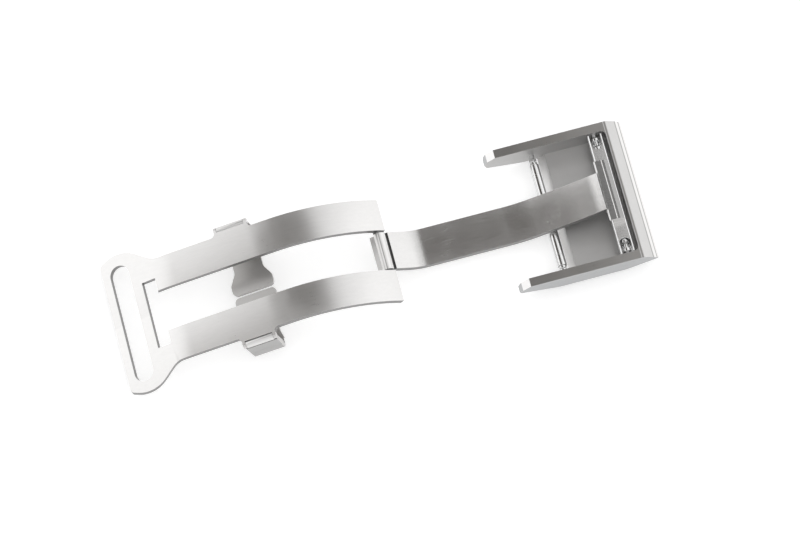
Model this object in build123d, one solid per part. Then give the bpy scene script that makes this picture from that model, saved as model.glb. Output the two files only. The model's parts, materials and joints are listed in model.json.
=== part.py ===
from build123d import *
import math
import os

# Single-fold deployant clasp, open and lying on the outer face of its cover, wrist side up.
# +X runs along the clasp to the cover's closed end, +Y runs across it, +Z is up.
# Every piece is drawn with x = 0 on the cover hinge and z = 0 on the table, and is then
# moved along X so that the origin lies under the middle of the whole open clasp.

# Strap and general fits
strap_width = 20.0
running_gap = 0.04
side_gap = 0.15
overrun = 1.0

# Cover
rail_wall = 1.35
cover_height = 4.7
cavity_depth = 3.7
cavity_corner = 0.8
cavity_end = 1.7
rim_width = 0.45
band_1_run = 1.4
band_1_drop = 1.1
band_2_run = 0.85
band_2_drop = 0.9
heel_tuck = 0.25
heel_height = 1.35
keel_end = -0.4
keel_start = -11.2
horn_top_end = -15.45
horn_nose = -17.2
horn_facet_run = 1.25
horn_facet_drop = 0.95
horn_nose_height = 2.5
horn_under_height = 1.45
horn_under_run = 0.35
plate_edge = -7.9
plate_bevel = 1.1
keel_chamfer = 1.3
keel_radius = 8.0
nose_radius = 0.5

# Spring bars: the tips slide in the tube and reach into blind holes in the rails
bar_radius = 0.75
bar_bore = 0.64
tip_radius = 0.4
tip_body_radius = 0.6
tip_neck_radius = 0.4
tip_reach = 0.8
tip_travel = 0.9
tip_cone = 0.3
tip_point = 0.12
strap_bar_x = -9.9
strap_bar_height = 1.6
strap_tube_half = 8.4
strap_tip_inner = 5.6
strap_groove_start = 8.75
strap_groove_width = 0.22
tube_ring_inset = 1.75
tube_ring_width = 0.1
tube_ring_depth = 0.05
spring_wire_radius = 0.08
spring_radius = 0.48
spring_pitch = 0.9
spring_end_gap = 0.25

# Hinge block under the end of the middle blade, with the catch that the fork snaps over
hinge_height = 3.35
block_width = 2.3
block_under = 1.05
block_over = 1.05
block_end_gap = 0.15
block_edge = 0.3
hinge_tube_half = 7.2
hinge_tip_inner = 5.0
hinge_shoulder = 7.95
hinge_neck_radius = 0.34
hinge_neck_width = 0.75
hinge_flange_width = 0.4
bar_window_width = 1.66
bar_window_depth = 2.5
catch_centre = -0.05
catch_length = 1.8
catch_half_width = 4.85
catch_height = 6.2
catch_bevel = 0.22
catch_lip = 0.5
catch_lip_under = 5.85
catch_ridge_from_end = 1.15
catch_groove_width = 0.5
catch_groove = 0.14
catch_right_height = 5.35

# Middle blade
sheet = 0.9
blade_width = 6.0
blade_floor = 2.15
ramp_angles = (16.0, 19.6, 24.0)
ramp_radii = (16.0, 60.0, 15.0)
ramp_bend_back = 5.5
ramp_curl_back = 1.2
ramp_end_height = 6.3
heel_angle = 31.8
heel_radius = 6.0
heel_offset = 0.7
heel_groove = 0.24
heel_groove_run = 0.84

# Fold hinge
fold_reach = 35.4
fold_height = 4.29
knuckle_radius = 0.85
fold_pin_radius = 0.4
knuckle_inset = 0.9
tail_reach = 1.6
tail_angle = 20.0
tail_top = 0.05
tail_thickness = 0.7
barrel_side_gap = 0.28

# Fork blade
arm_width = 5.05
head_width = 23.8
head_end_taper = 1.55
catch_gap = 0.15
catch_side_gap = 0.5
slot_bar = 1.5
slot_width = 2.95
slot_side = 2.45
head_strip = 1.2
head_corner = 0.9
neck_run = 4.45
neck_start_back = 2.07
neck_corner_reach = 2.59
neck_curve_reach = 0.967
head_slope = 20.55
arm_slope = 12.5
arm_end_slope = 36.0
knee_back = 33.0
knee_height = 4.64
knee_radius = 25.0
crest_radius = 20.5
arm_overrun = 1.05

# Keeper flaps on the outer edges of the fork's arms
flap_centre_back = 21.45
flap_length = 5.3
flap_sheet = 0.6
flap_depth = 5.9
flap_bulge = 0.6
flap_shoulder = 3.7
flap_shoulder_radius = 1.0
flap_corner = 1.4
flap_back_corner = 2.4
flap_front_corner = 1.0
flap_plan_corner = 1.3
flap_crease = 0.12
flap_seam = 0.2
flap_lip_half = 3.3
flap_lip_width = 1.9
flap_neck_half = 2.3
flap_neck_start = 3.6
flap_neck_end = 7.2
flap_foot_start = 8.4
flap_edge_radius = 0.7
lug_reach = 0.65
lug_groove = 0.39
ear_thickness = 0.45
ear_gap = 0.05
ear_radius = 0.5
ear_root = 0.6
flap_pin_radius = 0.22
notch_gap = 0.08

# Places worked out from the sizes above
inner_half = strap_width / 2
outer_half = inner_half + rail_wall
rim_outer = cavity_end + rim_width
cover_end = rim_outer + band_1_run + band_2_run
plate_top = cover_height - cavity_depth
fold_x = -fold_reach
latch_centre = 2 * fold_x - catch_centre
latch_half = catch_length / 2 + catch_gap
latch_half_width = catch_half_width + catch_side_gap
latch_start = latch_centre - latch_half
slot_end = latch_start - slot_bar
slot_start = slot_end - slot_width
head_end = slot_start - head_strip
arm_gap_half = blade_width / 2 + barrel_side_gap
arm_half = arm_gap_half + arm_width
knuckle_end = arm_half - knuckle_inset
slot_length = head_width - 2 * slot_side
to_centre = -(head_end + cover_end) / 2

RISING = (Align.CENTER, Align.CENTER, Align.MIN)


def slope(angle):
    return math.tan(math.radians(angle))


def crossing(point_a, slope_a, point_b, slope_b):
    """Where two sloping lines of a side view meet."""
    x = (point_b[1] - point_a[1] + slope_a * point_a[0] - slope_b * point_b[0]) / (slope_a - slope_b)
    return x, point_a[1] + slope_a * (x - point_a[0])


def strip(points, radii, thickness):
    """Face of a bent sheet: its upper line through points, and its lower line one thickness below."""
    count = len(points)
    turns = []
    for first, second in zip(points, points[1:]):
        turns.append(math.atan2(second[1] - first[1], second[0] - first[0]))
    under = []
    for index, point in enumerate(points):
        before = turns[max(index - 1, 0)]
        after = turns[min(index, count - 2)]
        middle = (before + after) / 2
        reach = thickness / math.cos((after - before) / 2)
        under.append((point[0] + reach * math.sin(middle), point[1] - reach * math.cos(middle)))
    under_radii = []
    for index, radius in enumerate(radii):
        bends_down = turns[index + 1] < turns[index]
        under_radii.append(radius - thickness if bends_down else radius + thickness)
    upper = FilletPolyline(*points, radius=radii)
    lower = FilletPolyline(*under, radius=under_radii)
    ends = [Line(points[0], under[0]), Line(points[-1], under[-1])]
    return make_face([upper, lower] + ends)


def side_prism(face, half_width):
    """A side view swept across the clasp, from -half_width to +half_width along Y."""
    return extrude(Plane.XZ * face, amount=half_width, both=True)


def block(x0, x1, y0, y1, z0, z1):
    return Pos((x0 + x1) / 2, (y0 + y1) / 2, (z0 + z1) / 2) * Box(x1 - x0, y1 - y0, z1 - z0)


def side_block(x0, x1, y0, y1, z0, z1, side):
    """A block on the +Y side of the middle plane, or its mirror image on the -Y side."""
    return block(x0, x1, min(side * y0, side * y1), max(side * y0, side * y1), z0, z1)


def cross_rod(x, z, radius, y0, y1):
    """A round bar along Y."""
    return Pos(x, (y0 + y1) / 2, z) * Rot(X=90) * Cylinder(radius, y1 - y0)


def cover():
    foot = cover_height - band_1_drop - band_2_drop
    outline = [
        (horn_top_end, cover_height),
        (rim_outer, cover_height),
        (rim_outer + band_1_run, cover_height - band_1_drop),
        (cover_end, foot),
        (cover_end - heel_tuck, heel_height),
        (keel_end, 0),
        (keel_start, 0),
        (horn_nose + horn_under_run, horn_under_height),
        (horn_nose, horn_nose_height),
        (horn_top_end - horn_facet_run, cover_height - horn_facet_drop),
    ]
    side = make_face(Polyline(*outline, close=True))
    body = side_prism(side, outer_half)
    low = [e for e in body.edges() if abs(abs(e.center().Y) - outer_half) < running_gap]
    under = [e for e in low if e.center().Z < horn_under_height and e.length > keel_chamfer]
    body = chamfer(under, keel_chamfer)
    floor_side = [
        (plate_edge - plate_bevel, -overrun),
        (plate_edge - plate_bevel, 0),
        (plate_edge, plate_top),
        (cavity_end, plate_top),
        (cavity_end, cover_height + overrun),
        (horn_nose - overrun, cover_height + overrun),
        (horn_nose - overrun, -overrun),
    ]
    hollow = side_prism(make_face(Polyline(*floor_side, close=True)), inner_half)
    corners = hollow.edges().filter_by(Axis.Z).group_by(Axis.X)[-1]
    hollow = fillet(corners, cavity_corner)
    body = body - hollow
    for x, z in ((strap_bar_x, strap_bar_height), (0, hinge_height)):
        reach = inner_half + tip_reach + tip_point
        body = body - cross_rod(x, z, tip_radius + running_gap, -reach, reach)
    return body


def bar_tube(x, z, half, ring_inset=None):
    """A spring bar's tube, with a fine turned ring near each end where ring_inset is given."""
    tube = cross_rod(x, z, bar_radius, -half, half) - cross_rod(x, z, bar_bore, -half, half)
    rims = tube.edges().filter_by(GeomType.CIRCLE)
    outer = [e for e in rims if e.radius > (bar_radius + bar_bore) / 2]
    tube = fillet(outer, (bar_radius - bar_bore) / 2)
    if ring_inset:
        for side in (-1, 1):
            start = side * (half - ring_inset) - tube_ring_width / 2
            end = start + tube_ring_width
            band = cross_rod(x, z, bar_radius + running_gap, start, end)
            tube = tube - (band - cross_rod(x, z, bar_radius - tube_ring_depth, start, end))
    return tube


def turned_tip(outline, x, z, side):
    """A tip turned from radius and length pairs, on the +Y end of its bar or the -Y end."""
    points = [(0, outline[0][1])] + outline + [(0, outline[-1][1])]
    tip = revolve(make_face(Polyline(*points, close=True)), Axis.Y)
    if side < 0:
        tip = mirror(tip, Plane.XZ)
    return Pos(x, 0, z) * tip


def tip_nose():
    end = inner_half + tip_reach
    return [(tip_radius, end - tip_point), (tip_radius - tip_point, end)]


def strap_tip(side):
    groove_end = strap_groove_start + strap_groove_width
    shoulder = inner_half - tip_cone - side_gap
    outline = [
        (tip_body_radius, strap_tip_inner),
        (tip_body_radius, strap_groove_start),
        (tip_neck_radius, strap_groove_start),
        (tip_neck_radius, groove_end),
        (tip_body_radius, groove_end),
        (tip_body_radius, shoulder - tip_cone),
        (tip_radius, shoulder),
    ]
    return turned_tip(outline + tip_nose(), strap_bar_x, strap_bar_height, side)


def hinge_tip(side):
    neck_start = hinge_shoulder + tip_body_radius - hinge_neck_radius
    neck_end = neck_start + hinge_neck_width
    flange_end = neck_end + hinge_flange_width
    outline = [
        (tip_body_radius, hinge_tip_inner),
        (tip_body_radius, hinge_shoulder),
        (hinge_neck_radius, neck_start),
        (hinge_neck_radius, neck_end),
        (tip_body_radius, neck_end),
        (tip_body_radius, flange_end),
        (tip_radius, flange_end + tip_cone),
    ]
    return turned_tip(outline + tip_nose(), 0, hinge_height, side)


def bar_spring(x, z, tip_inner):
    """Coil spring between the inner ends of the two tips."""
    half = tip_inner - spring_end_gap
    coil = Helix(spring_pitch, 2 * half, spring_radius)
    wire = sweep(Plane(coil @ 0, z_dir=coil % 0) * Circle(spring_wire_radius), path=coil)
    return Pos(x, half, z) * Rot(X=90) * wire


def hinge_block():
    low = hinge_height - block_under
    top = hinge_height + block_over
    half = block_width / 2
    reach = inner_half - block_end_gap
    bar = block(-half, half, -reach, reach, low, top)
    bar = fillet(bar.edges().filter_by(Axis.Y), block_edge)
    start = catch_centre - catch_length / 2
    end = catch_centre + catch_length / 2
    lip = start - catch_lip
    ridge = end - catch_ridge_from_end
    roof = [
        (start, top - block_edge),
        (start, catch_lip_under),
        (lip, catch_lip_under),
        (lip, catch_height - catch_bevel),
        (lip + catch_bevel, catch_height),
        (ridge, catch_height),
        (ridge + catch_groove, catch_height - catch_groove),
        (ridge + catch_groove_width, catch_height - catch_groove),
        (end, catch_right_height),
        (end, top - block_edge),
    ]
    bar = bar + side_prism(make_face(Polyline(*roof, close=True)), catch_half_width)
    bar = bar + block(lip, start, -blade_width / 2, blade_width / 2, top, catch_lip_under)
    bar = bar - cross_rod(0, hinge_height, bar_radius + running_gap, -reach, reach)
    half_window = bar_window_width / 2
    inner = reach - bar_window_depth + half_window
    ceiling = top + overrun
    for side in (-1, 1):
        window = side_block(-half_window, half_window, inner, reach + overrun, hinge_height, ceiling, side)
        round_end = Cylinder(half_window, ceiling - hinge_height, align=RISING)
        bar = bar - window - Pos(0, side * inner, hinge_height) * round_end
    return bar


def blade_points():
    """Upper line of the middle blade, from the fold hinge to its end against the catch."""
    end = (catch_centre - catch_length / 2 - catch_lip, ramp_end_height)
    past_end = (end[0] + overrun, end[1] + overrun * slope(ramp_angles[2]))
    curl = (end[0] - ramp_curl_back, end[1] - ramp_curl_back * slope(ramp_angles[2]))
    run = ramp_bend_back - ramp_curl_back
    bend = (curl[0] - run, curl[1] - run * slope(ramp_angles[1]))
    above_pin = (fold_x, fold_height + heel_offset / math.cos(math.radians(heel_angle)))
    floor_point = (fold_x, blade_floor)
    toe = crossing(floor_point, 0, bend, slope(ramp_angles[0]))
    heel = crossing(floor_point, 0, above_pin, -slope(heel_angle))
    return [above_pin, heel, toe, bend, curl, past_end]


def middle_blade():
    points = blade_points()
    half = blade_width / 2
    blade = side_prism(strip(points, [heel_radius, *ramp_radii], sheet), half)
    end_x = points[-1][0] - overrun
    blade = blade - block(end_x, end_x + 2 * overrun, -half, half, 0, 2 * cover_height)
    blade = blade + cross_rod(fold_x, fold_height, knuckle_radius, -half, half)
    tail = block(-tail_reach, 0, -half, half, tail_top - tail_thickness, tail_top)
    blade = blade + Pos(fold_x, 0, fold_height) * Rot(Y=-tail_angle) * tail
    lean = math.radians(heel_angle)
    groove_x = fold_x + heel_offset * math.sin(lean) + heel_groove_run * math.cos(lean)
    groove_z = fold_height + heel_offset * math.cos(lean) - heel_groove_run * math.sin(lean)
    blade = blade - cross_rod(groove_x, groove_z, heel_groove, -half, half)
    return blade - cross_rod(fold_x, fold_height, fold_pin_radius + running_gap, -half, half)


def arm_frame():
    """Frame on the straight part of the fork's upper face: X along the arm, Z out of the sheet."""
    x = fold_x - flap_centre_back
    z = knee_height + slope(arm_slope) * (x - (fold_x - knee_back))
    return Pos(x, 0, z) * Rot(Y=-arm_slope)


def head_frame():
    """Frame on the upper face of the fork's head: X up its slope from its end, Z out of the sheet."""
    z = knee_height - slope(head_slope) * (fold_x - knee_back - head_end)
    return Pos(head_end, 0, z) * Rot(Y=-head_slope)


def up_head(x):
    """Distance up the slope of the head from its end."""
    return (x - head_end) / math.cos(math.radians(head_slope))


def fork_plan():
    head_start = latch_start - neck_start_back
    points = [
        (fold_x + arm_overrun, arm_half),
        (head_start + neck_run, arm_half),
        (head_start, head_width / 2),
        (head_end, head_width / 2 - head_end_taper),
    ]
    neck_turn = math.atan2(head_width / 2 - arm_half, neck_run)
    side_turn = math.atan2(head_end_taper, head_start - head_end)
    neck_curve = neck_curve_reach / math.tan(neck_turn / 2)
    neck_corner = neck_corner_reach / math.tan((neck_turn + side_turn) / 2)
    mirrored = [(x, -y) for x, y in reversed(points)]
    radii = [neck_curve, neck_corner, head_corner]
    edge = FilletPolyline(*(points + mirrored), radius=radii + radii[::-1])
    plan = make_face([edge, Line(points[0], mirrored[-1])])
    gap_length = fold_x + arm_overrun + overrun - latch_centre
    plan = plan - Pos(latch_centre + gap_length / 2, 0) * Rectangle(gap_length, 2 * arm_gap_half)
    start = latch_start + sheet * math.sin(math.radians(head_slope))
    end = latch_centre + latch_half
    return plan - Pos((start + end) / 2, 0) * Rectangle(end - start, 2 * latch_half_width)


def head_cuts():
    """The head's end, its slot and the near wall of its opening, all cut square to the sloping sheet."""
    deep = 2 * sheet
    end = block(-overrun, 0, -head_width, head_width, -deep, deep)
    wall = up_head(latch_start)
    opening = block(wall, wall + overrun, -latch_half_width, latch_half_width, -sheet - side_gap, sheet)
    centre = up_head((slot_start + slot_end) / 2)
    width = up_head(slot_end) - up_head(slot_start)
    slot = Pos(centre, 0) * extrude(Rot(Z=90) * SlotOverall(slot_length, width), amount=deep, both=True)
    return head_frame() * (end + opening + slot)


def fork_blade():
    knee = (fold_x - knee_back, knee_height)
    left = (head_end - overrun, knee_height - slope(head_slope) * (knee[0] - head_end + overrun))
    over_pin = (fold_x, fold_height + knuckle_radius / math.cos(math.radians(arm_end_slope)))
    crest = crossing(knee, slope(arm_slope), over_pin, -slope(arm_end_slope))
    end_x = fold_x + arm_overrun
    end = (end_x, over_pin[1] - slope(arm_end_slope) * arm_overrun)
    face = strip([left, knee, crest, end], [knee_radius, crest_radius], sheet)
    prism = extrude(fork_plan(), amount=3 * cover_height)
    fork = (side_prism(face, head_width) & prism) - head_cuts()
    for side in (-1, 1):
        inner = side * arm_gap_half
        outer = side * knuckle_end
        fork = fork + cross_rod(fold_x, fold_height, knuckle_radius, min(inner, outer), max(inner, outer))
        fork = fork + flap_lug(side) + flap_ears(side)
    return fork - cross_rod(fold_x, fold_height, fold_pin_radius, -knuckle_end, knuckle_end)


def fold_pin():
    return cross_rod(fold_x, fold_height, fold_pin_radius, -knuckle_end, knuckle_end)


def flap_axis_y():
    return arm_half + lug_reach + lug_groove


def along_rod(radius, x0, x1, side):
    """A round bar along the arm, on the axis of one keeper flap."""
    centre = Pos((x0 + x1) / 2, side * flap_axis_y(), -ear_radius)
    return arm_frame() * centre * Rot(Y=90) * Cylinder(radius, x1 - x0)


def flap_lug(side):
    """The arm's edge where it widens for a flap, with hollow curves at its ends and a seat for the eye."""
    half = flap_length / 2
    edge = arm_half + lug_reach
    lug = side_block(-half - lug_reach, half + lug_reach, arm_half - ear_root, edge, -sheet, 0, side)
    for x in (-half - lug_reach, half + lug_reach):
        lug = lug - Pos(x, side * edge) * Cylinder(lug_reach, 3 * sheet)
    seat = half - ear_thickness
    return arm_frame() * lug - along_rod(ear_radius + running_gap, -seat, seat, side)


def flap_ears(side):
    half = flap_length / 2
    ears = []
    for start in (-half, half - ear_thickness):
        end = start + ear_thickness
        plate = side_block(start, end, arm_half, flap_axis_y(), -sheet, 0, side)
        ear = arm_frame() * plate + along_rod(ear_radius, start, end, side)
        ears.append(ear - along_rod(flap_pin_radius, start, end, side))
    return ears[0] + ears[1]


def keeper_pin(side):
    half = flap_length / 2
    return along_rod(flap_pin_radius, -half, half, side)


def flap_plan():
    half = flap_length / 2
    points = [
        (half, flap_axis_y() + flap_depth),
        (half, flap_foot_start),
        (flap_neck_half, flap_neck_end),
        (flap_neck_half, flap_neck_start),
        (flap_lip_half, flap_lip_width),
        (flap_lip_half, flap_seam),
    ]
    mirrored = [(-x, y) for x, y in reversed(points)]
    radii = [flap_edge_radius] * (len(points) - 1)
    edge = FilletPolyline(*(points + mirrored), radius=radii + radii)
    return make_face([edge, Line(points[0], mirrored[-1])])


def keeper_flap(side):
    axis_y = flap_axis_y()
    wall_foot = axis_y + ear_radius + flap_bulge
    wall_inner = axis_y + ear_radius - flap_sheet
    inner_line = [
        (flap_seam, -flap_depth + flap_sheet),
        (wall_foot - flap_sheet, -flap_depth + flap_sheet),
        (wall_inner, -flap_shoulder),
        (wall_inner, -ear_radius),
    ]
    section = strip(inner_line, [flap_corner - flap_sheet, flap_shoulder_radius], flap_sheet)
    sheet_part = extrude(Plane.YZ * section, amount=flap_lip_half, both=True)
    sheet_part = sheet_part & (Pos(0, 0, -2 * flap_depth) * extrude(flap_plan(), amount=3 * flap_depth))
    half = flap_length / 2
    plan_end = half - flap_plan_corner
    plan_edge = wall_foot - flap_plan_corner
    for end, radius in ((-1, flap_back_corner), (1, flap_front_corner)):
        inner = end * (half - radius)
        outer = end * (half + overrun)
        rise = -flap_depth + radius
        x0, x1 = min(inner, outer), max(inner, outer)
        corner = block(x0, x1, flap_foot_start, wall_foot + overrun, -flap_depth - overrun, rise)
        sheet_part = sheet_part - (corner - cross_rod(inner, rise, radius, 0, 2 * inner_half))
        x0, x1 = min(end * plan_end, outer), max(end * plan_end, outer)
        corner = block(x0, x1, plan_edge, wall_foot + overrun, -2 * flap_depth, 0)
        round_part = Pos(end * plan_end, plan_edge) * Cylinder(flap_plan_corner, 4 * flap_depth)
        sheet_part = sheet_part - (corner - round_part)
    crease = Pos(0, axis_y + ear_radius, -2 * ear_radius) * Rot(Y=90) * Cylinder(flap_crease, flap_length)
    sheet_part = sheet_part - crease
    eye_half = half - ear_thickness - ear_gap
    for start, end in ((-half - overrun, -eye_half), (eye_half, half + overrun)):
        middle = Pos((start + end) / 2, axis_y, -ear_radius)
        sheet_part = sheet_part - middle * Rot(Y=90) * Cylinder(ear_radius + notch_gap, end - start)
    eye = Pos(0, axis_y, -ear_radius) * Rot(Y=90) * Cylinder(ear_radius, 2 * eye_half)
    bore = Pos(0, axis_y, -ear_radius) * Rot(Y=90) * Cylinder(flap_pin_radius + running_gap, flap_length)
    flap = sheet_part + eye - bore
    if side < 0:
        flap = mirror(flap, Plane.XZ)
    return arm_frame() * flap


parts = {
    "cover": cover(),
    "strap_bar_tube": bar_tube(strap_bar_x, strap_bar_height, strap_tube_half, tube_ring_inset),
    "strap_bar_tip_left": strap_tip(1),
    "strap_bar_tip_right": strap_tip(-1),
    "strap_bar_spring": bar_spring(strap_bar_x, strap_bar_height, strap_tip_inner),
    "hinge_bar_tube": bar_tube(0, hinge_height, hinge_tube_half),
    "hinge_bar_tip_left": hinge_tip(1),
    "hinge_bar_tip_right": hinge_tip(-1),
    "hinge_bar_spring": bar_spring(0, hinge_height, hinge_tip_inner),
    "hinge_block": hinge_block(),
    "middle_blade": middle_blade(),
    "fold_pin": fold_pin(),
    "fork_blade": fork_blade(),
    "keeper_flap_left": keeper_flap(1),
    "keeper_flap_right": keeper_flap(-1),
    "keeper_pin_left": keeper_pin(1),
    "keeper_pin_right": keeper_pin(-1),
}

os.makedirs("parts", exist_ok=True)
for name, solid in parts.items():
    export_step(Pos(to_centre, 0, 0) * solid, os.path.join("parts", name + ".step"))
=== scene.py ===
import json
import math

import bmesh
import bpy
from mathutils import Matrix, Vector


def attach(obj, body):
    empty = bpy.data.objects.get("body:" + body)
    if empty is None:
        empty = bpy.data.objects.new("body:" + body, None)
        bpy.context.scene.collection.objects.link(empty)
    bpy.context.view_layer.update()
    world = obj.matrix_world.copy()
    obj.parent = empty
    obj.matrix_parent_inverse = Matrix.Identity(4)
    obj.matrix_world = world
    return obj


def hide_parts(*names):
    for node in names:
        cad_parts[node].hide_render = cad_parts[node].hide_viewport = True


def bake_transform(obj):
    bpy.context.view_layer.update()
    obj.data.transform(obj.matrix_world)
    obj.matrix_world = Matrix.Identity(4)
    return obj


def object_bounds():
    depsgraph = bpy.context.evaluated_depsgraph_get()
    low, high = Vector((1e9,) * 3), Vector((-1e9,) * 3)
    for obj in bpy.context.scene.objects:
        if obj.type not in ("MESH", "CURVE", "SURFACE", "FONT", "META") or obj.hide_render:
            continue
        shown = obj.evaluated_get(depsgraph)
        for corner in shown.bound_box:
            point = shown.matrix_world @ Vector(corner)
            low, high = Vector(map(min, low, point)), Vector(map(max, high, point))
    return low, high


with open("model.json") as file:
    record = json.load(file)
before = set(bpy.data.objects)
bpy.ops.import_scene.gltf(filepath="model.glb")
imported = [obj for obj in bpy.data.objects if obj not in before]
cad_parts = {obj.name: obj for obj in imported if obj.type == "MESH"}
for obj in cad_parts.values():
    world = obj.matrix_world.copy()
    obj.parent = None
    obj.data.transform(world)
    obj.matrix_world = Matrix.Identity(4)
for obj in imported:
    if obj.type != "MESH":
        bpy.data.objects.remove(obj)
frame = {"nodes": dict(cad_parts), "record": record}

MM = 0.001
PHOTO_WIDTH = 800
FOCAL_PIXELS = 5082.37
CAD_BOX = [list(corner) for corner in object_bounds()]
NODES = frame["nodes"]
BODY_OF = {}
for body_name, member_names in frame["record"]["behaviour"]["bodies"].items():
    for member_name in member_names:
        BODY_OF[member_name] = body_name

# Places on the cover, in mm
POCKET_HALF = 10.09
END_WALL = 2.56
COVER_HEIGHT = 4.65
RIM_HEIGHT = 4.4
HORN_END = 21.2

# Places on the fork, in mm
LUG_EDGE = 9.02
LUG_HALF = 3.4
FORK_CROWN = 5.8
FORK_CREST = (-18.0, -3.5)

# Places on the middle blade, in mm from the fold pin and above the table
FOLD_X = 1.125
# Where painted shade darkens the groove beside the knuckle: its run along X from the pin and its height
GROOVE_RUN = (0.9, 1.28)
GROOVE_HEIGHT = (4.2, 4.64)
TAIL_START = -0.3
KNUCKLE_HALF = 0.88
KNUCKLE_BASE = 4.4

# Places on the hinge block, in mm
HINGE_X = 36.525
CATCH_HALF = 4.9
CATCH_RIDGE = HINGE_X + 0.3
BLOCK_ENDS = {"half": 9.8, "back": 37.2, "radius": 0.16}

# Places on the keeper flaps, in mm, with the slope of the arm above them and that slope's cosine
FLAP_AXIS = (-20.217, 9.37, 6.712)
ARM_SLOPE = 0.2217
ARM_COSINE = 0.976
# Where painted shade darkens the crease and a painted highlight brightens the roll, measured from the
# flap's axis
CREASE_PLACE = (0.5, -0.5)
CREASE_REACH = 0.2
ROLL_REACH = 0.56

# How far a face's unit normal rises or leans, to tell the faces of a piece apart
LEVEL_RISE = 0.98
TOP_RISE = 0.95
SLANTED = (0.3, 0.9)
SIDEWAYS = 0.7
LENGTHWAYS = 0.5
BAND_RISE = 0.74
HORN_RISE = 0.6
EDGE_RISE = 0.4
CORNER_RISE = 0.93
LEAN = 0.3
TAIL_RISE = 0.8
RIDGE_RISE = (0.6, 0.75)
RIDGE_LEAN = 0.6
WALL_LEAN = 0.6

# Fine lines across a piece, the place along X in mm and the grey level of each: painted shadow lines at
# the edges of the end wall's bands, painted highlight lines along the pocket's rim, and a dark line
# along the knuckle
BAND_SHADOW_LINES = ((40.07, 0.12), (40.6, 0.15))
RIM_HIGHLIGHT_LINES = ((38.27, 0.97), (38.64, 0.97))
KNUCKLE_LINES = ((FOLD_X - 0.1, 0.2),)

# Light
SKY_STRENGTH = 0.95
FLOOR_GLOW = 0.4

# How the pieces are softened: distances in mm and angles in degrees, but the square turn in radians
MERGE_REACH = 0.002
FLAT_ANGLE = 0.4
SHARP_ANGLE = 28.0
SQUARE_TURN = 1.0
COVER_EDGE = 0.12
FORK_EDGE = 0.09
BLADE_EDGE = 0.1
BLOCK_EDGE = 0.08
FLAP_EDGE = 0.16

# Materials: the brightest grey a metal has, the radius in mm of rubbed edges, and heights of the grain
BRIGHTEST = 0.97
WEAR_RADIUS = 0.12
BRUSH_DEPTH = 0.04
BLAST_DEPTH = 0.03
TURNED_DEPTH = 0.03
LINE_WIDTH = (0.03, 0.1)
DOME_RISE = -0.008


# Shader sums

class Sum:
    """A socket of a material, written as a value in Python sums."""

    def __init__(self, recipe, socket):
        self.recipe = recipe
        self.socket = socket

    def operate(self, operation, *values):
        """One step of arithmetic, as a node."""
        return self.recipe.add("ShaderNodeMath", {"operation": operation}, dict(enumerate(values)))

    def __add__(self, other):
        return self.operate("ADD", self, other)

    def __sub__(self, other):
        return self.operate("SUBTRACT", self, other)

    def __rsub__(self, other):
        return self.operate("SUBTRACT", other, self)

    def __mul__(self, other):
        return self.operate("MULTIPLY", self, other)

    def maximum(self, other):
        return self.operate("MAXIMUM", self, other)

    def minimum(self, other):
        return self.operate("MINIMUM", self, other)

    def absolute(self):
        return self.operate("ABSOLUTE", self)

    def between(self, low, high):
        """0 below low, 1 above high, and a soft step from one to the other."""
        settings = {"interpolation_type": "SMOOTHSTEP", "clamp": True}
        inputs = {"Value": self, "From Min": low, "From Max": high}
        return self.recipe.add("ShaderNodeMapRange", settings, inputs)


class Recipe:
    """A material and the nodes that are being added to it."""

    def __init__(self, name):
        self.material = bpy.data.materials.new(name)
        self.material.use_nodes = True
        self.tree = self.material.node_tree
        self.tree.nodes.clear()
        self.output = self.tree.nodes.new("ShaderNodeOutputMaterial")

    def add(self, kind, settings=None, inputs=None, result=0):
        """Adds a node, sets it up, feeds its sockets, and gives back one of its outputs."""
        node = self.tree.nodes.new(kind)
        for key, value in (settings or {}).items():
            setattr(node, key, value)
        for key, value in (inputs or {}).items():
            self.feed(node.inputs[key], value)
        return Sum(self, node.outputs[result])

    def feed(self, socket, value):
        """Links a sum to a socket, or sets the socket to a plain value."""
        if isinstance(value, Sum):
            self.tree.links.new(value.socket, socket)
        else:
            socket.default_value = value

    def place(self, scale=(1.0, 1.0, 1.0), turn=0.0):
        """Object coordinates in millimetres, stretched by scale and turned about Z."""
        coordinates = self.add("ShaderNodeTexCoord", result="Object")
        stretched = tuple(share / MM for share in scale)
        settings = {"vector_type": "POINT"}
        inputs = {"Vector": coordinates, "Scale": stretched, "Rotation": (0.0, 0.0, turn)}
        return self.add("ShaderNodeMapping", settings, inputs)

    def along(self, axis):
        """One of the three object coordinates, in millimetres."""
        return self.add("ShaderNodeSeparateXYZ", {}, {0: self.place()}, result=axis)

    def noise(self, vector, scale, detail, roughness=0.5):
        """A 3-D noise from 0 to 1. Its scale is in waves a millimetre."""
        inputs = {"Vector": vector, "Scale": scale, "Detail": detail, "Roughness": roughness}
        return self.add("ShaderNodeTexNoise", {"noise_dimensions": "3D"}, inputs)

    def mix(self, share, first, second):
        """A colour between two colours, from the node's sockets and result for colours."""
        inputs = {0: share, 6: first, 7: second}
        return self.add("ShaderNodeMix", {"data_type": "RGBA"}, inputs, result=2)

    def finish(self, surface):
        """Gives the surface to the material, and gives back the material."""
        self.tree.links.new(surface.socket, self.output.inputs["Surface"])
        return self.material


def grey(level, warmth=0.0):
    """A grey that leans to red by the share warmth, or to blue if that is below zero."""
    return (level * (1.0 + warmth), level, level * (1.0 - warmth), 1.0)


# Finishes

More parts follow.
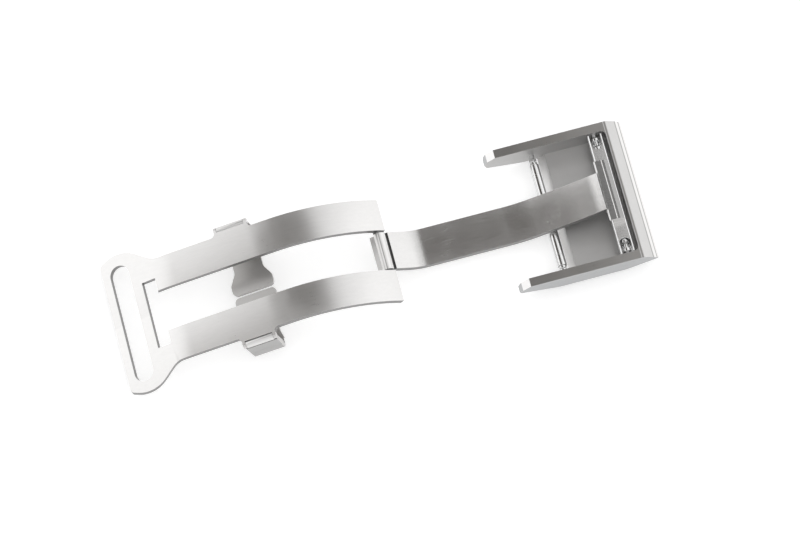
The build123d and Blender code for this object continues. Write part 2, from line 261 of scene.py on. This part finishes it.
def brushed_steel(name, level, roughness, warmth=0.01, crown=None, crest=None, painted_lines=()):
    """Steel rubbed lengthways: long fine lines, faint clouds, a few hairline marks and worn edges.

    level is its grey and warmth how far that leans to red. crown is the distance in mm from the middle
    plane to the middle of a face that is slightly domed, and crest holds the two places along X, in mm,
    between which such a face is rounded over a little more. The last argument holds fine lines across
    it,
    each a place along X in mm and a grey: painted shadow lines, painted highlight lines or a dark line."""
    recipe = Recipe(name)
    lines = recipe.noise(recipe.place((0.04, 1.0, 1.0)), scale=11.0, detail=4.0, roughness=0.65)
    coarse_lines = recipe.noise(recipe.place((0.012, 0.3, 0.3)), scale=9.0, detail=2.0)
    clouds = recipe.noise(recipe.place(), scale=0.3, detail=2.0)
    scratches = recipe.noise(recipe.place((0.12, 1.0, 1.0), turn=0.35), scale=3.2, detail=1.0)
    marks = scratches.between(0.72, 0.76)
    wear = edge_wear(recipe)
    shade = (lines - 0.5) * 0.3 + (coarse_lines - 0.5) * 0.25 + (clouds - 0.5) * 0.12 - marks * 0.03
    tone = (shade + 0.5).minimum(1.0).maximum(0.0)
    base = recipe.mix(tone, grey(level * 0.86, warmth), grey(min(level * 1.14, BRIGHTEST), warmth))
    base = recipe.mix(wear * 0.6, base, grey(0.93))
    # Each fine line is painted at its place along X: a shadow line, a highlight line or a dark line
    for place, line_level in painted_lines:
        on_line = 1.0 - (recipe.along(0) - place).absolute().between(*LINE_WIDTH)
        base = recipe.mix(on_line * 0.6, base, grey(line_level))
    rough = (lines - 0.5) * 0.1 + (clouds - 0.5) * 0.06 + roughness - wear * 0.08
    height = lines * 0.7 + coarse_lines * 0.3
    fine = {"Strength": 0.05, "Distance": BRUSH_DEPTH * MM, "Height": height}
    if crown is not None:
        off_middle = recipe.along(1).absolute() - crown
        domed = off_middle * off_middle * DOME_RISE
        if crest is not None:
            domed = domed - recipe.along(0).between(*crest)
        dome = {"Strength": 1.0, "Distance": MM, "Height": domed}
        fine["Normal"] = recipe.add("ShaderNodeBump", {}, dome)
    bump = recipe.add("ShaderNodeBump", {}, fine)
    inputs = {"Base Color": base, "Metallic": 1.0, "Roughness": rough, "Normal": bump}
    return recipe.finish(recipe.add("ShaderNodeBsdfPrincipled", {}, inputs))


def edge_wear(recipe):
    """1 on rubbed edges and 0 on faces, from how far a softened normal leaves the real one."""
    soft = recipe.add("ShaderNodeBevel", {"samples": 6}, {"Radius": WEAR_RADIUS * MM})
    real = recipe.add("ShaderNodeNewGeometry", result="Normal")
    settings = {"operation": "DOT_PRODUCT"}
    likeness = recipe.add("ShaderNodeVectorMath", settings, {0: soft, 1: real}, result="Value")
    patches = recipe.noise(recipe.place(), scale=1.1, detail=3.0)
    return (1.0 - likeness).between(0.02, 0.3) * patches.between(0.25, 0.65)


def blasted_steel(name, level, roughness):
    """Steel with an even matt grain, as a machined pocket has after fine blasting."""
    recipe = Recipe(name)
    grain = recipe.noise(recipe.place(), scale=22.0, detail=3.0, roughness=0.6)
    clouds = recipe.noise(recipe.place(), scale=0.5, detail=2.0)
    wear = edge_wear(recipe)
    tone = ((grain - 0.5) * 0.8 + (clouds - 0.5) * 0.35 + 0.5).minimum(1.0).maximum(0.0)
    base = recipe.mix(tone, grey(level * 0.85, 0.01), grey(level * 1.12, 0.01))
    base = recipe.mix(wear * 0.5, base, grey(0.85))
    rough = (grain - 0.5) * 0.2 + roughness
    fine = {"Strength": 0.12, "Distance": BLAST_DEPTH * MM, "Height": grain}
    bump = recipe.add("ShaderNodeBump", {}, fine)
    inputs = {"Base Color": base, "Metallic": 1.0, "Roughness": rough, "Normal": bump}
    return recipe.finish(recipe.add("ShaderNodeBsdfPrincipled", {}, inputs))


def polished_steel(name, level, roughness):
    """Bright steel with faint turning lines round the bar and tiny handling marks."""
    recipe = Recipe(name)
    rings = recipe.noise(recipe.place((0.1, 1.0, 0.1)), scale=16.0, detail=3.0)
    smears = recipe.noise(recipe.place(), scale=1.6, detail=3.0)
    wear = edge_wear(recipe)
    base = recipe.mix(rings, grey(level * 0.93), grey(min(level * 1.07, BRIGHTEST)))
    base = recipe.mix(wear * 0.5, base, grey(0.95))
    rough = (smears - 0.4).maximum(0.0) * 0.25 + (rings - 0.5) * 0.05 + roughness
    fine = {"Strength": 0.04, "Distance": TURNED_DEPTH * MM, "Height": rings}
    bump = recipe.add("ShaderNodeBump", {}, fine)
    inputs = {"Base Color": base, "Metallic": 1.0, "Roughness": rough, "Normal": bump}
    return recipe.finish(recipe.add("ShaderNodeBsdfPrincipled", {}, inputs))


# Pieces

def deselect_all():
    for item in bpy.context.selected_objects:
        item.select_set(False)


def new_copy(node_name, ending):
    """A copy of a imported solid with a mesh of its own, for a piece that stands for the solid."""
    piece = NODES[node_name].copy()
    piece.data = NODES[node_name].data.copy()
    piece.name = node_name + "_" + ending
    piece.parent = None
    piece.hide_render = False
    piece.hide_viewport = False
    bpy.context.scene.collection.objects.link(piece)
    for key in list(piece.keys()):
        if key.startswith("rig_"):
            del piece[key]
    return piece


def round_ends(mesh, half, back, radius):
    """Rounds the edges of the faces beyond half in Y, where they lie beyond back in X, all in mm."""
    shape = bmesh.new()
    shape.from_mesh(mesh)
    corners = []
    for edge in shape.edges:
        places = [vertex.co / MM for vertex in edge.verts]
        at_end = all(abs(place.y) > half and place.x > back for place in places)
        if at_end and edge.calc_face_angle(0.0) > SQUARE_TURN:
            corners.append(edge)
    bmesh.ops.bevel(shape, geom=corners, offset=radius * MM, segments=4, profile=0.5, affect="EDGES")
    shape.to_mesh(mesh)
    shape.free()


def finished_copy(node_name, edge, finishes, choose, ends=None):
    """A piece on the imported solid's shape, with its edges softened by edge mm, as on a finished part.

    choose gives the name in finishes for a face, from its centre in mm and its normal. ends holds the
    measures for round_ends, where the ends need more room as they swing."""
    deselect_all()
    piece = new_copy(node_name, "finished")
    bpy.context.view_layer.objects.active = piece
    piece.select_set(True)
    bpy.ops.object.mode_set(mode="EDIT")
    bpy.ops.mesh.select_all(action="SELECT")
    bpy.ops.mesh.remove_doubles(threshold=MERGE_REACH * MM)
    bpy.ops.mesh.customdata_custom_splitnormals_clear()
    bpy.ops.mesh.dissolve_limited(angle_limit=math.radians(FLAT_ANGLE))
    bpy.ops.object.mode_set(mode="OBJECT")
    if ends:
        round_ends(piece.data, **ends)
    softened = piece.modifiers.new("edges", "BEVEL")
    softened.width = edge * MM
    softened.segments = 3
    softened.limit_method = "ANGLE"
    softened.angle_limit = math.radians(SHARP_ANGLE)
    softened.use_clamp_overlap = True
    bpy.ops.object.modifier_apply(modifier=softened.name)
    bpy.ops.object.shade_smooth_by_angle(angle=math.radians(SHARP_ANGLE))
    weighted = piece.modifiers.new("normals", "WEIGHTED_NORMAL")
    weighted.keep_sharp = True
    bpy.ops.object.modifier_apply(modifier=weighted.name)
    piece.data.materials.clear()
    for material in finishes.values():
        piece.data.materials.append(material)
    names = list(finishes)
    for polygon in piece.data.polygons:
        polygon.material_index = names.index(choose(polygon.center / MM, polygon.normal))
    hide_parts(node_name)
    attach(piece, BODY_OF[node_name])


def half_spring(node_name, end):
    """One half of a coil spring, which shortens as the tip at its end is pushed in."""
    tip_name = node_name.replace("spring", "tip_" + end)
    side = math.copysign(1.0, sum(vertex.co.y for vertex in NODES[tip_name].data.vertices))
    piece = new_copy(node_name, end)
    shape = bmesh.new()
    shape.from_mesh(piece.data)
    bmesh.ops.remove_doubles(shape, verts=shape.verts[:], dist=MERGE_REACH * MM)
    whole = shape.verts[:] + shape.edges[:] + shape.faces[:]
    middle = {"plane_co": (0.0, 0.0, 0.0), "plane_no": (0.0, side, 0.0)}
    bmesh.ops.bisect_plane(shape, geom=whole, clear_inner=True, **middle)
    bmesh.ops.holes_fill(shape, edges=[edge for edge in shape.edges if edge.is_boundary])
    shape.to_mesh(piece.data)
    shape.free()
    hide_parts(node_name)
    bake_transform(piece)


def dress_node(node_name, material):
    """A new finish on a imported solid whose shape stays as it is."""
    mesh = NODES[node_name].data
    mesh.materials.clear()
    mesh.materials.append(material)


def within(value, limits):
    low, high = limits
    return low < value < high


def cover_face(centre, normal):
    """The name in COVER_FINISHES for one face of the cover. The side, rail and band faces are darkened
    by painted shade, and the rim and nose faces brightened by a painted highlight.
    """
    inside = abs(centre.y) < POCKET_HALF and centre.x < CAD_BOX[1][0] / MM - END_WALL
    slanted = within(normal.z, SLANTED)
    if inside and slanted and centre.z > RIM_HEIGHT:
        return "rim"
    if inside and not slanted and centre.z < COVER_HEIGHT:
        return "pocket"
    if abs(normal.y) > SIDEWAYS:
        return "side"
    if normal.z > TOP_RISE:
        return "rail"
    if normal.x > LENGTHWAYS and normal.z > BAND_RISE:
        return "band"
    if normal.x < -LENGTHWAYS and centre.x < HORN_END:
        return "nose" if normal.z > HORN_RISE else "side"
    return "face"


def sheet_face(centre, normal):
    """The name for one face of a bent sheet: its cut edge, darkened by painted shade, the broken corner
    along it on the -Y side, painted nearly black as shade, or a face.
    """
    if abs(normal.z) < EDGE_RISE:
        return "edge"
    if EDGE_RISE < normal.z < CORNER_RISE and normal.y < -LEAN:
        return "corner"
    return "face"


def fork_face(centre, normal):
    """As for any sheet, with the ears of the flaps finished as the flaps are, darkened by painted
    shade.
    """
    if abs(centre.y) > LUG_EDGE and abs(centre.x - FLAP_AXIS[0]) < LUG_HALF:
        return "ear"
    return sheet_face(centre, normal)


def blade_face(centre, normal):
    """As for any sheet, with painted shade in the groove beside the knuckle, a softer knuckle
    brightened by a painted highlight, and a tail darkened by painted shade.
    """
    from_pin = centre.x - FOLD_X
    if within(from_pin, GROOVE_RUN) and within(centre.z, GROOVE_HEIGHT):
        return "corner"
    if from_pin < TAIL_START and normal.z > TAIL_RISE:
        return "tail"
    if abs(from_pin) < KNUCKLE_HALF and centre.z > KNUCKLE_BASE and abs(normal.y) < LEAN:
        return "knuckle"
    return sheet_face(centre, normal)


def block_face(centre, normal):
    """The name in BLOCK_FINISHES for one face of the hinge block: flats darkened by painted shade and
    edges brightened by a painted highlight.
    """
    on_catch = abs(centre.y) < CATCH_HALF and centre.z > COVER_HEIGHT
    if not on_catch:
        return "cross" if normal.z > LEVEL_RISE else "body"
    if normal.z > LEVEL_RISE:
        return "catch"
    if within(normal.z, RIDGE_RISE) and normal.x > RIDGE_LEAN and centre.x > CATCH_RIDGE:
        return "slope"
    return "bright"


def flap_face(centre, normal):
    """The name in FLAP_FINISHES for one face of a keeper flap: all of it darkened by painted shade,
    deepest on the walls and in the crease, with a painted highlight on the roll and edges.
    """
    across = abs(centre.y) - FLAP_AXIS[1]
    above = (centre.z - FLAP_AXIS[2] - ARM_SLOPE * (centre.x - FLAP_AXIS[0])) * ARM_COSINE
    if math.hypot(across - CREASE_PLACE[0], above - CREASE_PLACE[1]) < CREASE_REACH:
        return "crease"
    if math.hypot(across, above) < ROLL_REACH:
        return "roll"
    if abs(normal.y) > WALL_LEAN:
        return "wall"
    if within(abs(normal.z), SLANTED):
        return "roll"
    return "face"


# The finish of each piece and the pieces themselves

fork_finish = brushed_steel("satin_fork_steel", 0.76, 0.3, crown=FORK_CROWN, crest=FORK_CREST)
blade_finish = brushed_steel("satin_blade_steel", 0.72, 0.25, crown=0.0)
# The sheets' cut edges, darkened with painted shade
shaded_edge_finish = brushed_steel("shaded_cut_edge_steel", 0.25, 0.36)
# Painted shade, nearly black: the -Y broken corners, the groove beside the knuckle and the flaps'
# crease
painted_shade_finish = brushed_steel("painted_shade_steel", 0.07, 0.4)
# A painted highlight on the knuckle, with a dark line across it
knuckle_highlight_finish = brushed_steel("highlight_knuckle_steel", 0.97, 0.5, painted_lines=KNUCKLE_LINES)
# Painted shade on the blade's tail, which lies under the arm
shaded_tail_finish = brushed_steel("shaded_tail_steel", 0.62, 0.4)
# Painted shade on the flaps and on the fork's ears, from the arm above them
shaded_flap_finish = brushed_steel("shaded_flap_steel", 0.6, 0.3, warmth=0.015)
# Deeper painted shade on the flaps' walls
shaded_wall_finish = brushed_steel("shaded_flap_wall_steel", 0.42, 0.34)
# A painted highlight on the flaps' rolls and edges
roll_highlight_finish = brushed_steel("highlight_flap_roll_steel", 0.7, 0.34)
block_finish = polished_steel("polished_block_steel", 0.85, 0.2)
# Painted shade on the catch's level flats
shaded_catch_finish = brushed_steel("shaded_catch_steel", 0.3, 0.28)
# Painted shade on the catch's slope
shaded_catch_side_finish = brushed_steel("shaded_catch_side_steel", 0.36, 0.28)
# Painted shade on the cross-member's level tops
shaded_cross_finish = brushed_steel("shaded_cross_steel", 0.62, 0.26)
# The cover's own steel, with painted shadow lines at the band edges
cover_finish = brushed_steel("satin_cover_steel", 0.82, 0.32, painted_lines=BAND_SHADOW_LINES)
# Painted shade on the cover's outer sides
shaded_side_finish = brushed_steel("shaded_side_steel", 0.45, 0.36, warmth=-0.01)
# Painted shade on the rail tops, with painted highlight lines along the pocket's rim
shaded_rail_finish = brushed_steel("shaded_rail_steel", 0.37, 0.3, warmth=0.03, painted_lines=RIM_HIGHLIGHT_LINES)
# Painted shade on the end wall's band, with painted shadow lines
shaded_band_finish = brushed_steel("shaded_band_steel", 0.62, 0.32, painted_lines=BAND_SHADOW_LINES)
pocket_finish = blasted_steel("blasted_pocket_steel", 0.54, 0.5)
# A painted highlight on the pocket's rim and on the catch's edges
rim_highlight_finish = brushed_steel("highlight_rim_steel", 0.95, 0.5)
# A painted highlight on the horns' noses
nose_highlight_finish = brushed_steel("highlight_nose_steel", 0.97, 0.3)
bar_finish = polished_steel("polished_bar_steel", 0.74, 0.14)

COVER_FINISHES = {
    "face": cover_finish,
    "side": shaded_side_finish,
    "pocket": pocket_finish,
    "rail": shaded_rail_finish,
    "band": shaded_band_finish,
    "rim": rim_highlight_finish,
    "nose": nose_highlight_finish,
}
FORK_FINISHES = {
    "face": fork_finish,
    "edge": shaded_edge_finish,
    "corner": painted_shade_finish,
    "ear": shaded_flap_finish,
}
BLADE_FINISHES = {
    "face": blade_finish,
    "edge": shaded_edge_finish,
    "corner": painted_shade_finish,
    "knuckle": knuckle_highlight_finish,
    "tail": shaded_tail_finish,
}
BLOCK_FINISHES = {
    "body": block_finish,
    "catch": shaded_catch_finish,
    "slope": shaded_catch_side_finish,
    "cross": shaded_cross_finish,
    "bright": rim_highlight_finish,
}
FLAP_FINISHES = {
    "face": shaded_flap_finish,
    "wall": shaded_wall_finish,
    "crease": painted_shade_finish,
    "roll": roll_highlight_finish,
}

finished_copy("cover", COVER_EDGE, COVER_FINISHES, cover_face)
finished_copy("fork_blade", FORK_EDGE, FORK_FINISHES, fork_face)
finished_copy("middle_blade", BLADE_EDGE, BLADE_FINISHES, blade_face)
finished_copy("hinge_block", BLOCK_EDGE, BLOCK_FINISHES, block_face, ends=BLOCK_ENDS)
for flap_node in ("keeper_flap_left", "keeper_flap_right"):
    finished_copy(flap_node, FLAP_EDGE, FLAP_FINISHES, flap_face)
for bar_node in NODES:
    if bar_node.startswith(("strap_bar", "hinge_bar", "fold_pin", "keeper_pin")):
        dress_node(bar_node, bar_finish)
for spring_node in ("strap_bar_spring", "hinge_bar_spring"):
    for spring_end in ("left", "right"):
        half_spring(spring_node, spring_end)


# Floor, light and camera

def white_where_seen(recipe, surface, strength):
    """The surface as lit, with its own white added where the camera or a reflection sees it."""
    rays = recipe.tree.nodes.new("ShaderNodeLightPath")
    seen = Sum(recipe, rays.outputs["Is Camera Ray"])
    seen = seen.maximum(Sum(recipe, rays.outputs["Is Glossy Ray"]))
    seen = seen.maximum(Sum(recipe, rays.outputs["Is Transmission Ray"]))
    glow = recipe.add("ShaderNodeEmission", {}, {"Color": grey(1.0), "Strength": seen * strength})
    return recipe.add("ShaderNodeAddShader", {}, {0: surface, 1: glow})


def floor():
    """The pale table that the part lies on."""
    deselect_all()
    bpy.ops.mesh.primitive_plane_add(size=4.0)
    ground = bpy.context.object
    ground.name = "floor"
    recipe = Recipe("white_floor")
    inputs = {"Base Color": grey(0.8), "Roughness": 0.9, "Specular IOR Level": 0.1}
    surface = recipe.add("ShaderNodeBsdfPrincipled", {}, inputs)
    ground.data.materials.append(recipe.finish(white_where_seen(recipe, surface, FLOOR_GLOW)))


def card(name, middle, size, level):
    """A flag over the part, seen only by reflections, that gives bright metal something dark."""
    deselect_all()
    bpy.ops.mesh.primitive_plane_add(size=1.0)
    flag = bpy.context.object
    flag.name = name
    facing_down = Vector((0.0, 0.0, -1.0)).to_track_quat("Z", "Y").to_matrix().to_4x4()
    stretch = Matrix.Diagonal((*size, 1.0, 1.0))
    flag.data.transform(Matrix.Translation(middle) @ facing_down @ stretch)
    recipe = Recipe(name + "_cloth")
    glow = recipe.add("ShaderNodeEmission", {}, {"Color": grey(level, 0.1), "Strength": 1.0})
    flag.data.materials.append(recipe.finish(glow))
    flag.visible_camera = False
    flag.visible_diffuse = False
    flag.visible_shadow = False
    flag.visible_transmission = False


def lamp(name, place, size, power):
    """A softbox that looks at the middle of the part."""
    data = bpy.data.lights.new(name, "AREA")
    data.shape = "RECTANGLE"
    data.size = size[0]
    data.size_y = size[1]
    data.energy = power
    item = bpy.data.objects.new(name, data)
    bpy.context.scene.collection.objects.link(item)
    turn = (-Vector(place)).to_track_quat("-Z", "Y").to_matrix().to_4x4()
    item.matrix_world = Matrix.Translation(place) @ turn


def sky():
    """Even white light from all round."""
    world = bpy.data.worlds.new("studio")
    bpy.context.scene.world = world
    world.use_nodes = True
    background = world.node_tree.nodes["Background"]
    background.inputs["Color"].default_value = grey(1.0)
    background.inputs["Strength"].default_value = SKY_STRENGTH


def camera():
    """The photograph's view: where it looks from, how it is tilted, and its lens."""
    azimuth = math.radians(5.0717)
    elevation = math.radians(70.0183)
    roll = math.radians(-9.8773)
    distance = 763.1 * MM
    target = Vector((2.9145, -2.9758, 4.7)) * MM
    level = math.cos(elevation)
    view = Vector((math.sin(azimuth) * level, math.cos(azimuth) * level, -math.sin(elevation)))
    right = Vector((math.cos(azimuth), -math.sin(azimuth), 0.0))
    up = right.cross(view)
    rolled_right = math.cos(roll) * right + math.sin(roll) * up
    rolled_up = math.cos(roll) * up - math.sin(roll) * right
    data = bpy.data.cameras.new("photo_camera")
    data.sensor_fit = "HORIZONTAL"
    data.sensor_width = 36.0
    data.lens = FOCAL_PIXELS * data.sensor_width / PHOTO_WIDTH
    data.clip_start = 0.01
    data.clip_end = 20.0
    item = bpy.data.objects.new("photo_camera", data)
    bpy.context.scene.collection.objects.link(item)
    turn = Matrix((rolled_right, rolled_up, -view)).transposed().to_4x4()
    item.matrix_world = Matrix.Translation(target - distance * view) @ turn
    bpy.context.scene.camera = item


floor()
sky()
lamp("left_softbox", place=(-0.5, 0.3, 0.5), size=(0.6, 0.6), power=0.4)
lamp("right_softbox", place=(0.6, 0.15, 0.35), size=(0.4, 0.6), power=0.23)
card("overhead_flag", middle=(-0.0135, 0.05, 0.133), size=(0.12, 0.07), level=0.085)
card("front_flag", middle=(-0.0895, 0.004, 0.133), size=(0.032, 0.068), level=0.2)
camera()
bpy.context.scene.view_settings.view_transform = "Standard"
